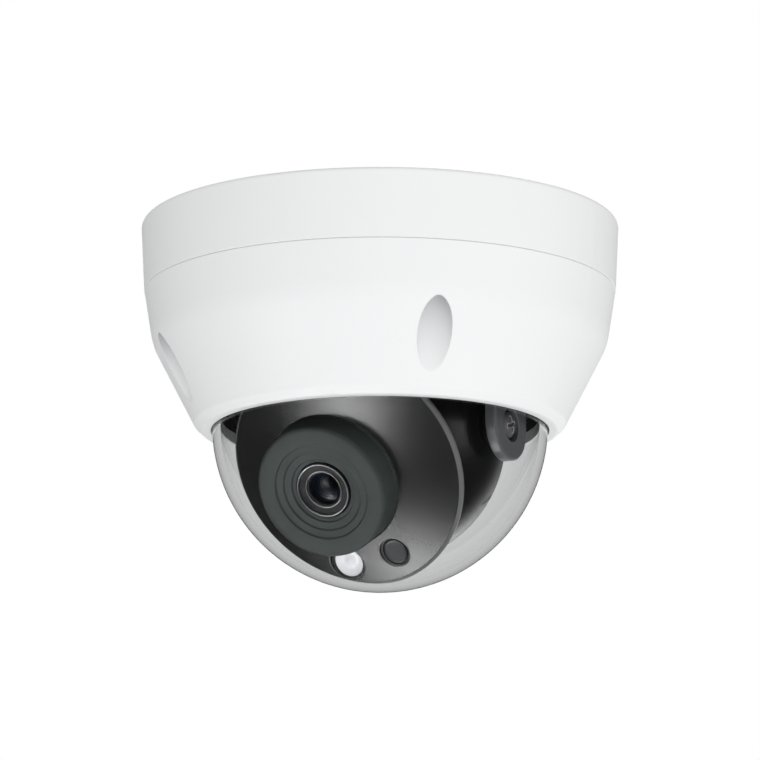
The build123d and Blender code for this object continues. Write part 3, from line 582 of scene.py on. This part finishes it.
skins = {
    "housing_white": {
        "color": (0.83, 0.835, 0.84), "edgeWearAndHighlight": (0.88, 0.88, 0.885), "rough": 0.5, "drift": 0.02,
        "grain": 2200.0, "grainTone": 0.012, "marks": 0.06, "bump": 0.1, "depth": 0.015,
        # painted shade: very dark tone for the castings' inside faces
        "primer": (0.09, 0.09, 0.092), "shine": 0.2,
    },
    "seal_rubber": {
        "color": (0.025, 0.025, 0.026), "edgeWearAndHighlight": (0.05, 0.05, 0.05), "rough": 0.7, "bump": 0.2,
    },
    "pad_grey": {"color": (0.42, 0.44, 0.47), "edgeWearAndHighlight": (0.5, 0.5, 0.5), "rough": 0.85, "bump": 0.3},
    "chip_black": {
        "color": (0.02, 0.02, 0.021), "edgeWearAndHighlight": (0.06, 0.06, 0.06), "rough": 0.55, "grain": 4000.0,
        "bump": 0.3,
    },
    "connector_white": {"color": (0.72, 0.7, 0.62), "edgeWearAndHighlight": (0.8, 0.79, 0.74), "rough": 0.5},
    "frame_black": {
        "color": (0.018, 0.018, 0.019), "edgeWearAndHighlight": (0.05, 0.05, 0.052), "rough": 0.5, "grain": 3200.0,
        "bump": 0.25,
    },
    "arm_grey": {
        # painted highlight: a bright edge tone on the arm's edges
        "color": (0.105, 0.109, 0.116), "edgeWearAndHighlight": (0.34, 0.345, 0.35), "rough": 0.42, "shine": 0.9,
        "grain": 3600.0, "bump": 0.12, "edgeWearAndHighlightGain": 6.0,
    },
    "washer_nylon": {"color": (0.6, 0.6, 0.56), "edgeWearAndHighlight": (0.7, 0.7, 0.68), "rough": 0.5},
    "ball_black": {
        "color": (0.005, 0.005, 0.0054), "edgeWearAndHighlight": (0.03, 0.03, 0.032), "rough": 0.24, "grain": 3600.0,
        "grainTone": 0.1, "bump": 0.05, "marks": 0.05,
    },
    "mask_grey": {
        # painted highlight: a bright edge tone on the mask's bevelled edges
        "color": (0.015, 0.015, 0.0155), "edgeWearAndHighlight": (0.34, 0.34, 0.345), "rough": 0.22, "grain": 4200.0,
        "grainTone": 0.1, "bump": 0.05, "marks": 0.05, "edgeWearAndHighlightGain": 4.0, "breakUp": 0.1,
        # painted highlight on the rim's bevelled band
        "rim": (0.17, 0.17, 0.172),
    },
    "hood_rubber": {
        "color": (0.046, 0.056, 0.053), "edgeWearAndHighlight": (0.07, 0.082, 0.08), "rough": 0.62, "grain": 4200.0,
        "grainTone": 0.22, "bump": 0.3, "depth": 0.02, "marks": 0.12, "drift": 0.16, "driftScale": 70.0,
    },
    # painted glow: the reflector and emitter shine though the infrared lamp gives no visible light
    "lamp_white": {"color": (0.94, 0.94, 0.93), "edgeWearAndHighlight": (0.96, 0.96, 0.96), "rough": 0.35, "glow": 0.22},
    "collar_black": {
        "color": (0.014, 0.014, 0.015), "edgeWearAndHighlight": (0.09, 0.09, 0.095), "rough": 0.34, "bump": 0.1,
    },
    "window_smoked": {
        "color": (0.03, 0.031, 0.034), "edgeWearAndHighlight": (0.07, 0.07, 0.075), "rough": 0.3, "grain": 5000.0,
        "coat": 0.3,
    },
}
metals = {
    "security_steel": {"color": (0.5, 0.51, 0.53), "edgeWearAndHighlight": (0.75, 0.76, 0.78), "rough": 0.28, **upright},
    "ring_steel": {"color": (0.44, 0.45, 0.47), "edgeWearAndHighlight": (0.65, 0.66, 0.68), "rough": 0.34, **upright},
    "screw_steel": {"color": (0.55, 0.56, 0.58), "edgeWearAndHighlight": (0.75, 0.75, 0.76), "rough": 0.3, **upright},
    "pivot_steel": {
        # painted highlight: a bright edge tone on the cross recess edges
        "color": (0.2, 0.2, 0.205), "edgeWearAndHighlight": (0.95, 0.95, 0.96), "rough": 0.34, "metal": 0.5,
        "edgeWearAndHighlightGain": 12.0, **sideways,
    },
    "insert_brass": {"color": (0.62, 0.45, 0.19), "edgeWearAndHighlight": (0.8, 0.62, 0.3), "rough": 0.32, **sideways},
    "barrel_black": {
        "color": (0.007, 0.007, 0.008), "edgeWearAndHighlight": (0.03, 0.03, 0.032), "rough": 0.52, "metal": 0.0,
        "pitch": 14000.0, **lensTurned,
    },
}
clears = {
    "dome_clear": {"color": (0.985, 0.99, 0.99), "ior": 1.49, "pass": (0.88, 0.88, 0.88)},
    "lens_glass": {"color": (0.45, 0.6, 0.85), "ior": 1.26, "rough": 0.22, "pass": (0.6, 0.72, 0.9)},
    "lamp_clear": {"color": (0.98, 0.98, 1.0), "ior": 1.45, "pass": (0.97, 0.97, 0.98)},
}
boards = {
    "board_green": {"color": (0.012, 0.095, 0.04), "track": (0.03, 0.17, 0.075)},
    "board_black": {"color": (0.012, 0.012, 0.013), "track": (0.035, 0.035, 0.035)},
}

finishes = {}
finishTables = (
    (skinFinish, skins), (turnedFinish, metals), (clearFinish, clears), (boardFinish, boards),
)
for makeFinish, table in finishTables:
    for slotName, finishSpec in table.items():
        finishes[slotName] = makeFinish(slotName + "Finish", finishSpec)

slotOf = {row["node"]: row["material_slot"] for row in frame["record"]["subparts"]}
for nodeName, cadPiece in cadNodes.items():
    cadPiece.data.materials.clear()
    cadPiece.data.materials.append(finishes[slotOf[nodeName]])
print("finishes ready:", len(finishes))


# shaping helpers

def addRounds(shape, corners, rounds):
    # rounds corners of an outline before it is turned: corner number, size in mm
    for index, size in rounds.items():
        bmesh.ops.bevel(
            shape, geom=[corners[index]], offset=size * mm, offset_type="OFFSET", segments=5,
            profile=0.5, affect="VERTICES", material=-1,
        )


def turnOutline(outline, rounds=None, steps=128, closed=True):
    # a ring or cap turned about Z from (radius, height) points in mm
    shape = bmesh.new()
    corners = [shape.verts.new((reach * mm, 0, height * mm)) for reach, height in outline]
    ends = corners[1:] + corners[:1] if closed else corners[1:]
    for first, second in zip(corners, ends):
        shape.edges.new((first, second))
    addRounds(shape, corners, rounds or {})
    bmesh.ops.spin(
        shape, geom=shape.verts[:] + shape.edges[:], cent=(0, 0, 0), axis=(0, 0, 1), angle=2 * pi,
        steps=steps, use_merge=True, use_duplicate=False,
    )
    return shape


def arc(radius, low, high, centre=0.0, count=24):
    # outline points on a ball, from one angle above level to another
    angles = [radians(low + (high - low) * i / count) for i in range(count + 1)]
    return [(radius * cos(a), centre + radius * sin(a)) for a in angles]


def crownOutline(reach, top, sag, count=16):
    # outline points of a crowned front, from its edge to its middle
    curve = (reach ** 2 + sag ** 2) / (2 * sag)
    low = 90 - degrees(asin(reach / curve))
    return arc(curve, low, 90, top - curve, count)


def addShape(whole, part):
    # joins one bmesh into another
    mesh = bpy.data.meshes.new("part")
    part.to_mesh(mesh)
    part.free()
    whole.from_mesh(mesh)
    bpy.data.meshes.remove(mesh)


def makePiece(shape, name, body, slotName, crease=32.0, place=None):
    if place is not None:
        bmesh.ops.transform(shape, matrix=place, verts=shape.verts)
    bmesh.ops.remove_doubles(shape, verts=shape.verts, dist=0.002 * mm)
    bmesh.ops.recalc_face_normals(shape, faces=shape.faces)
    mesh = bpy.data.meshes.new(name)
    shape.to_mesh(mesh)
    shape.free()
    mesh.shade_smooth()
    mesh.set_sharp_from_angle(angle=radians(crease))
    mesh.materials.append(finishes[slotName])
    piece = bpy.data.objects.new(name, mesh)
    bpy.context.scene.collection.objects.link(piece)
    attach(piece, body)
    return piece


def onMask(across, up):
    # a place on the mask, looking out along the lens
    return eyeFrame @ Matrix.Translation((across * mm, up * mm, 0))


# dome

dome = {
    "radius": 38.4, "wall": 1.8, "flange": 3.0, "flangeHeight": 1.8, "neck": 1.7, "steps": 192,
}


def makeDome():
    low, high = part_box("dome_bubble")
    top = high.z / mm
    centre = top - dome["flangeHeight"] - dome["neck"]
    inner = dome["radius"] - dome["wall"]
    outside = arc(dome["radius"], -90, 0, centre, 48)
    inside = arc(inner, 0, -90, centre, 48)
    flangeRadius = dome["radius"] + dome["flange"]
    flangeLow = top - dome["flangeHeight"]
    outline = outside + [
        (dome["radius"], flangeLow), (flangeRadius, flangeLow), (flangeRadius, top), (inner, top),
    ] + inside
    shape = turnOutline(outline, steps=dome["steps"], closed=False)
    piece = makePiece(shape, "domeShell", "housing", "dome_clear")
    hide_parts("dome_bubble")


makeDome()
print("dome ready")


# lens hood

# radii and heights along the lens in mm, heights from the eyeball's centre
hood = {
    "across": -2.7, "up": -1.5, "radius": 15.7, "frontRadius": 15.3, "front": 27.9, "lip": 1.0, "land": 1.5,
    "seat": 20.4, "neck": 12.5, "tail": 2.4, "relief": 3.3, "reliefDepth": 0.6, "bore": 6.55,
    "steps": (11.1, 9.35, 7.6), "stepDepth": 0.5, "stepLean": 0.16, "stepRound": 0.08,
    "groove": ((0.08, 1.1), (0.28, 1.25), (0.30, 1.45), (0.1, 1.6)),  # inward, and in front of the seat
}


def makeHood():
    seat = hood["seat"]
    face = hood["front"]
    outline = [(hood["neck"], seat - hood["tail"]), (hood["neck"], seat), (hood["radius"], seat)]
    outline += [(hood["radius"] - inward, seat + ahead) for inward, ahead in hood["groove"]]
    outline += [(hood["frontRadius"], face), (hood["steps"][0] + hood["land"], face)]
    rounds = {2: 0.25, 7: hood["lip"]}
    for reach in hood["steps"]:
        outline += [(reach, face - 0.06), (reach - hood["stepLean"], face - hood["stepDepth"])]
        rounds[len(outline) - 2] = hood["stepRound"]
        face -= hood["stepDepth"]
    relief = hood["neck"] - hood["relief"]
    outline += [
        (hood["bore"], face - 0.08), (hood["bore"], seat + hood["reliefDepth"]),
        (relief, seat + hood["reliefDepth"]), (relief, seat - hood["tail"]),
    ]
    rounds[len(outline) - 4] = 0.2
    shape = turnOutline(outline, rounds, steps=160)
    place = onMask(hood["across"], hood["up"])
    piece = makePiece(shape, "lensHood", "front_stage", "hood_rubber", place=place)
    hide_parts("lens_hood")


makeHood()
print("hood ready")


# lens

lens = {
    "front": 26.9, "back": 12.5, "collar": 21.6,
    "bezel": 6.2, "bezelWall": 0.24, "barrel": 6.0, "glass": 3.55,
    "ridgePitch": 0.3, "ridgeDrop": 0.05, "ridgeLean": 0.06, "ridgeDepth": 0.14, "innerRim": 1.05,
    "iris": 1.1, "throatTop": 3.1, "throatDepth": 3.4, "throatSteps": 5, "throatRise": 2.6,
    "crown": 0.75, "glassThick": 2.2, "innerCrown": 0.8, "innerThick": 0.75,
}


def makeBarrel(place):
    front = lens["front"]
    glass = lens["glass"]
    barrel = [
        (glass, lens["back"]), (lens["barrel"], lens["back"]), (lens["barrel"], lens["collar"]),
        (lens["bezel"] - 0.3, lens["collar"]), (lens["bezel"] - 0.3, front - 0.5),
    ]
    reach = lens["bezel"] - 0.4
    height = front - 0.6
    while reach > glass + lens["innerRim"]:  # fine ridges down to the inner rim
        barrel += [(reach, height), (reach - lens["ridgeLean"], height - lens["ridgeDepth"])]
        reach -= lens["ridgePitch"]
        height -= lens["ridgeDrop"]
    barrel += [(glass + 0.95, front - 1.0), (glass + 0.25, front - 1.0), (glass, front - 1.7)]
    piece = makePiece(turnOutline(barrel), "lensBarrel", "front_stage", "barrel_black", 25.0, place)
    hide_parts("lens_barrel")


def makeRims(place):
    front = lens["front"]
    glass = lens["glass"]
    wall = lens["bezel"] - lens["bezelWall"]
    rim = [(wall, lens["collar"]), (lens["bezel"], lens["collar"]), (lens["bezel"], front), (wall, front)]
    shape = turnOutline(rim, {2: 0.1, 3: 0.08})
    makePiece(shape, "lensRim", "front_stage", "ring_steel", 25.0, place)

    inner = [
        (glass + 0.60, front - 1.2), (glass + 0.86, front - 1.2),
        (glass + 0.82, front - 0.55), (glass + 0.64, front - 0.55),
    ]
    shape = turnOutline(inner, {2: 0.07, 3: 0.07})
    makePiece(shape, "lensInnerRing", "front_stage", "ring_steel", 25.0, place)


def makeThroat(place):
    # a stepped black throat behind the front glass, with a small element at its end
    glass = lens["glass"]
    iris = lens["iris"]
    top = lens["front"] - lens["throatTop"]
    low = top - lens["throatDepth"]
    throat = [(glass - 0.05, top), (glass - 0.05, low), (iris, low)]
    step = (glass - 0.25 - iris) / lens["throatSteps"]
    for index in range(lens["throatSteps"]):
        reach = iris + index * step
        height = top - 2.9 + index * lens["throatRise"] / lens["throatSteps"]
        throat += [(reach, height), (reach + step * 0.8, height + 0.08)]
    throat += [(glass - 0.25, top)]
    makePiece(turnOutline(throat, steps=96), "lensThroat", "front_stage", "barrel_black", 20.0, place)
    reach = iris + 0.5
    crown = top - 2.1
    back = crown - lens["innerThick"]
    outline = crownOutline(reach, crown, lens["innerCrown"]) + [(0, back), (reach, back)]
    shape = turnOutline(outline, steps=64)
    makePiece(shape, "lensInnerGlass", "front_stage", "lens_glass", 40.0, place)


def makeGlass(place):
    top = lens["front"] - 0.95
    back = top - lens["glassThick"]
    reach = lens["glass"] - 0.05
    outline = crownOutline(reach, top, lens["crown"]) + [(0, back), (reach, back)]
    piece = makePiece(turnOutline(outline, steps=96), "frontGlass", "front_stage", "lens_glass", 40.0, place)
    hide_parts("front_lens")


lensPlace = onMask(hood["across"], hood["up"])
makeBarrel(lensPlace)
makeRims(lensPlace)
makeThroat(lensPlace)
makeGlass(lensPlace)
print("lens ready")


# infrared lamp and light sensor

lamp = {
    "across": -5.6, "up": -22.0, "collar": 4.2, "lens": 3.5, "board": 17.15, "boardGap": 0.02, "top": 19.3,
    "emitter": 1.45, "emitterHeight": 0.85, "emitterCrown": 0.5, "lensCrown": 0.45,
}
eyeSensor = {
    "across": 7.0, "up": -20.1, "radius": 3.1, "low": 17.95, "top": 19.5, "dish": 0.08, "gap": 0.34,
    "rimWidth": 0.4, "step": 0.05,
}


def makeLamp():
    place = onMask(lamp["across"], lamp["up"])
    low = lamp["board"] + lamp["boardGap"]
    top = lamp["top"]
    collar = [
        (lamp["lens"], low), (lamp["collar"], low), (lamp["collar"], top),
        (lamp["lens"] + 0.12, top), (lamp["lens"], top - 0.3),
    ]
    shape = turnOutline(collar, {2: 0.22, 3: 0.06}, steps=96)
    piece = makePiece(shape, "lampCollar", "front_stage", "collar_black", 28.0, place)
    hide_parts("lamp_collar")

    reach = lamp["lens"] - 0.04
    cup = [(1.5, low), (reach, low), (reach, top - 0.65), (reach - 0.12, top - 0.65), (2.3, low + 0.75)]
    cup += [(2.2, low + 0.55), (1.9, low + 0.55), (1.8, low + 0.3), (1.5, low + 0.3)]
    shape = turnOutline(cup, {4: 0.1}, steps=96)
    makePiece(shape, "lampReflector", "front_stage", "lamp_white", 28.0, place)

    face = low + lamp["emitterHeight"]
    emitter = [(0, low), (lamp["emitter"], low), (lamp["emitter"], face), (1.0, face)]
    emitter += crownOutline(0.95, low + 1.35, lamp["emitterCrown"], 8)
    shape = turnOutline(emitter, {2: 0.12}, steps=64, closed=False)
    piece = makePiece(shape, "lampEmitter", "front_stage", "lamp_white", 28.0, place)
    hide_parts("infrared_led")

    reach -= 0.04
    lensTop = crownOutline(reach, top - 0.1, lamp["lensCrown"]) + [(0, top - 0.62), (reach, top - 0.62)]
    piece = makePiece(turnOutline(lensTop, steps=96), "lampLens", "front_stage", "lamp_clear", 40.0, place)
    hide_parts("lamp_lens")


def makeEyeSensor():
    place = onMask(eyeSensor["across"], eyeSensor["up"])
    low = eyeSensor["low"]
    top = eyeSensor["top"]
    reach = eyeSensor["radius"]
    face = reach - eyeSensor["gap"]
    side = face - eyeSensor["step"]
    seat = [(side, low), (reach, low), (reach, top - 0.55), (side, top - 0.62)]
    shape = turnOutline(seat, {2: 0.1}, steps=96)
    makePiece(shape, "sensorSeat", "front_stage", "collar_black", 28.0, place)
    rim = face - eyeSensor["rimWidth"]
    dish = top - eyeSensor["dish"]
    outline = [
        (0, low), (side, low), (side, top - 0.7), (face, top - 0.6), (face, top), (rim, top),
        (face - 0.5, dish), (0, dish),
    ]
    shape = turnOutline(outline, {4: 0.15, 5: 0.05}, steps=96, closed=False)
    piece = makePiece(shape, "sensorWindow", "front_stage", "window_smoked", 28.0, place)
    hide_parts("light_sensor_window")


makeLamp()
makeEyeSensor()
print("lamp and light sensor ready")


# screws that show

# tip, seat and ring heights run outwards from the vertical, in mm
pivotScrew = {
    "shank": 2.0, "head": 2.9, "headSide": 0.55, "crownReach": 1.7, "tip": 25.15, "seat": 31.85,
    "crossLength": 3.8, "crossWidth": 0.8, "crossDepth": 0.9, "turn": 0.35,
    "ringGap": 0.05, "ringWidth": 0.9, "ringHeight": 0.12, "ringInnerHeight": 0.2, "steps": 72,
}
coverScrew = {
    "shank": 1.6, "head": 3.1, "side": 0.9, "foot": 1.9, "height": 2.8, "steps": 72,
    "starReach": 1.55, "starDepth": 1.5, "starLobe": 0.11, "starLead": 1.0, "starPoints": 6,
}


def cutAway(piece, cutter, crease):
    # takes the cutter's shape out of a piece for good
    mesh = bpy.data.meshes.new("cutter")
    cutter.to_mesh(mesh)
    cutter.free()
    tool = bpy.data.objects.new("cutter", mesh)
    bpy.context.scene.collection.objects.link(tool)
    step = piece.modifiers.new("cutAway", "BOOLEAN")
    step.operation = "DIFFERENCE"
    step.solver = "EXACT"
    step.object = tool
    bpy.context.view_layer.update()
    seen = piece.evaluated_get(bpy.context.evaluated_depsgraph_get())
    cut = bpy.data.meshes.new_from_object(seen)
    piece.modifiers.clear()
    old = piece.data
    piece.data = cut
    bpy.data.meshes.remove(old)
    bpy.data.objects.remove(tool)
    bpy.data.meshes.remove(mesh)
    cut.shade_smooth()
    cut.set_sharp_from_angle(angle=radians(crease))


def crossPrism(top):
    # a plus-shaped block that reaches down from above the head
    near = pivotScrew["crossWidth"] / 2
    far = pivotScrew["crossLength"] / 2
    quarter = [(far, -near), (far, near), (near, near)]
    corners = []
    for turn in range(4):
        corners += quarter
        quarter = [(-y, x) for x, y in quarter]
    cross = bmesh.new()
    low = top - pivotScrew["crossDepth"]
    floor = cross.faces.new([cross.verts.new((x * mm, y * mm, low * mm)) for x, y in corners])
    lifted = bmesh.ops.extrude_face_region(cross, geom=[floor])["geom"]
    lifted = [item for item in lifted if isinstance(item, bmesh.types.BMVert)]
    bmesh.ops.translate(cross, vec=(0, 0, 3 * pivotScrew["crossDepth"] * mm), verts=lifted)
    bmesh.ops.recalc_face_normals(cross, faces=cross.faces)
    return cross


def makePivotScrews():
    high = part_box("tilt_screws")[1].x / mm
    tip = pivotScrew["tip"]
    seat = pivotScrew["seat"]
    shank = pivotScrew["shank"]
    head = pivotScrew["head"]
    outline = [
        (0, tip), (shank - 0.25, tip), (shank, tip + 0.3), (shank, seat), (head, seat),
        (head, seat + pivotScrew["headSide"]), (pivotScrew["crownReach"], high), (0, high),
    ]
    inner = head + pivotScrew["ringGap"]
    outer = head + pivotScrew["ringWidth"]
    floor = seat + 0.01
    ring = [
        (inner, floor), (outer, floor), (outer, floor + pivotScrew["ringHeight"]),
        (inner, floor + pivotScrew["ringInnerHeight"]),
    ]
    both = bmesh.new()
    rings = bmesh.new()
    cutters = bmesh.new()
    for side in (1, -1):
        place = Matrix.Translation((0, 0, pivot.z)) @ Matrix.Rotation(side * pi / 2, 4, "Y")
        turn = Matrix.Rotation(pivotScrew["turn"], 4, "Z")
        screw = turnOutline(outline, {5: 0.25, 6: 0.5}, steps=pivotScrew["steps"], closed=False)
        washer = turnOutline(ring, steps=pivotScrew["steps"])
        cross = crossPrism(high)
        parts = ((both, screw, place), (rings, washer, place), (cutters, cross, place @ turn))
        for whole, part, spot in parts:
            bmesh.ops.transform(part, matrix=spot, verts=part.verts)
            addShape(whole, part)
    makePiece(rings, "pivotRings", "pan_stage", "collar_black", 28.0)
    piece = makePiece(both, "pivotScrews", "tilt_stage", "pivot_steel", 28.0)
    cutAway(piece, cutters, 28.0)
    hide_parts("tilt_screws")


def screwCentres(node):
    # one screw stands in each quarter round the vertical; its middle is the middle of its corners
    low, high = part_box(node)
    quarters = {}
    for vertex in cadNodes[node].data.vertices:
        place = vertex.co
        quarters.setdefault((place.x > 0, place.y > 0), []).append(place)
    centres = []
    for places in quarters.values():
        xs = [p.x for p in places]
        ys = [p.y for p in places]
        centres.append(Vector(((min(xs) + max(xs)) / 2, (min(ys) + max(ys)) / 2, 0)))
    return centres, low.z / mm, high.z / mm


def starPrism(low):
    # a six-lobed block for the driver recess, from under the screw's face up to its floor
    star = bmesh.new()
    bmesh.ops.create_circle(star, segments=48, radius=1, cap_ends=True)
    for vertex in star.verts:
        angle = vertex.co.to_2d().angle_signed(Vector((1, 0)))
        lobes = 1 - coverScrew["starLobe"] * (1 - cos(coverScrew["starPoints"] * angle))
        vertex.co *= coverScrew["starReach"] * mm * lobes
    floor = bmesh.ops.extrude_face_region(star, geom=star.faces[:])
    lifted = [item for item in floor["geom"] if isinstance(item, bmesh.types.BMVert)]
    rise = (coverScrew["starDepth"] + coverScrew["starLead"]) * mm
    bmesh.ops.translate(star, vec=(0, 0, rise), verts=lifted)
    bmesh.ops.translate(star, vec=(0, 0, (low - coverScrew["starLead"]) * mm), verts=star.verts)
    bmesh.ops.recalc_face_normals(star, faces=star.faces)
    return star


def makeCoverScrews():
    centres, low, top = screwCentres("cover_screws")
    shank = coverScrew["shank"]
    head = coverScrew["head"]
    seat = low + coverScrew["height"]
    outline = [
        (0, top), (shank - 0.3, top), (shank, top - 0.4), (shank, seat), (head, seat),
        (head, seat - coverScrew["side"]), (coverScrew["foot"], low), (0, low),
    ]
    both = bmesh.new()
    cutters = bmesh.new()
    for centre in centres:
        screw = turnOutline(outline, {5: 0.4, 6: 0.5}, steps=coverScrew["steps"], closed=False)
        for whole, part in ((both, screw), (cutters, starPrism(low))):
            bmesh.ops.translate(part, vec=centre, verts=part.verts)
            addShape(whole, part)
    piece = makePiece(both, "coverScrewSet", "housing", "security_steel", 28.0)
    cutAway(piece, cutters, 28.0)
    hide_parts("cover_screws")


makePivotScrews()
makeCoverScrews()
print("screws ready")
